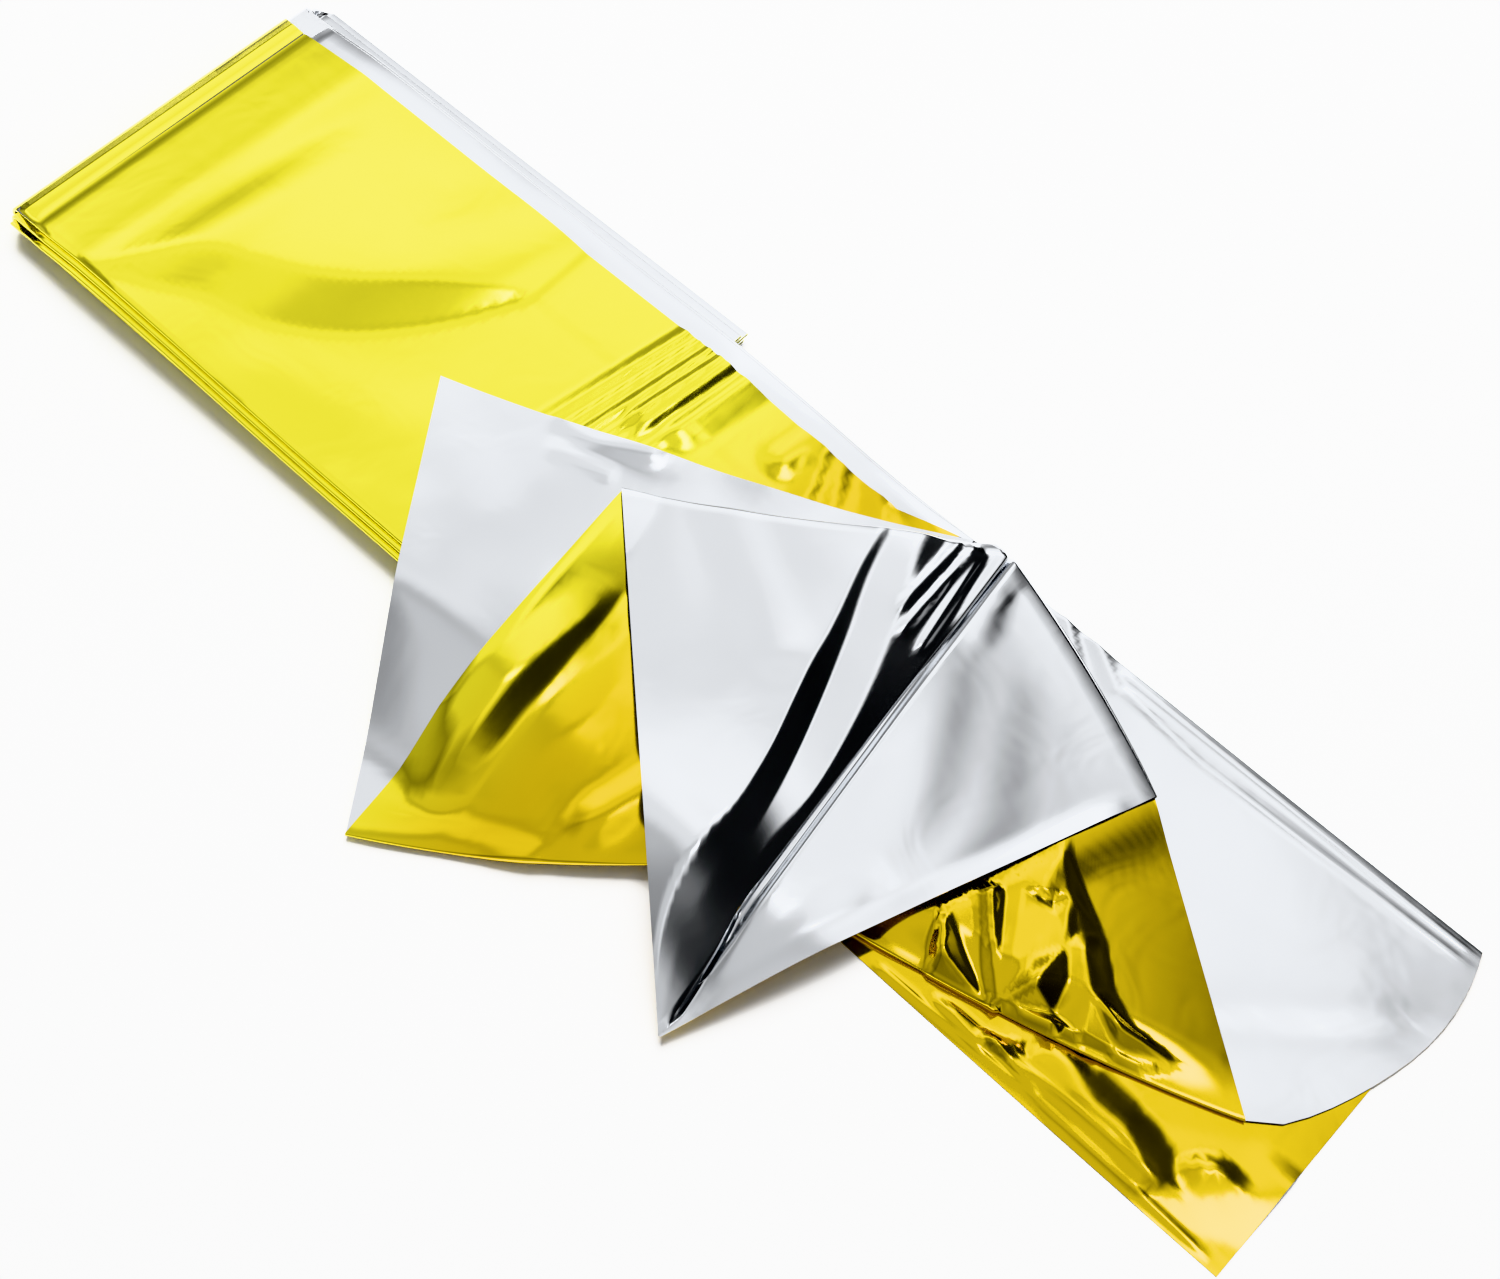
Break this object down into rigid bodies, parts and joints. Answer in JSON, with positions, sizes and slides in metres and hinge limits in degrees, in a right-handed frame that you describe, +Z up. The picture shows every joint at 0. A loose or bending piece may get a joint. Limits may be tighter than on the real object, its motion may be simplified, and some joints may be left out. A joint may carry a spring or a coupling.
{
  "type": "emergency foil blanket",
  "caption": "Gold and silver emergency foil blanket, folded back and forth into a strip, with its top panels turned over and fanned out.",
  "frame": {"origin": "middle of the base, on the surface the blanket rests on", "axes": "+X along the folded strip, from the turned-under end to the open cut end; +Y across the strip, away from the fanned panels; +Z up"},
  "size_m": [1.1324, 0.4598, 0.035],
  "materials": {
    "gold_film": "glossy"
  },
  "bodies": {
    "root": {"blanket": "gold_film"}
  },
  "joints": []
}
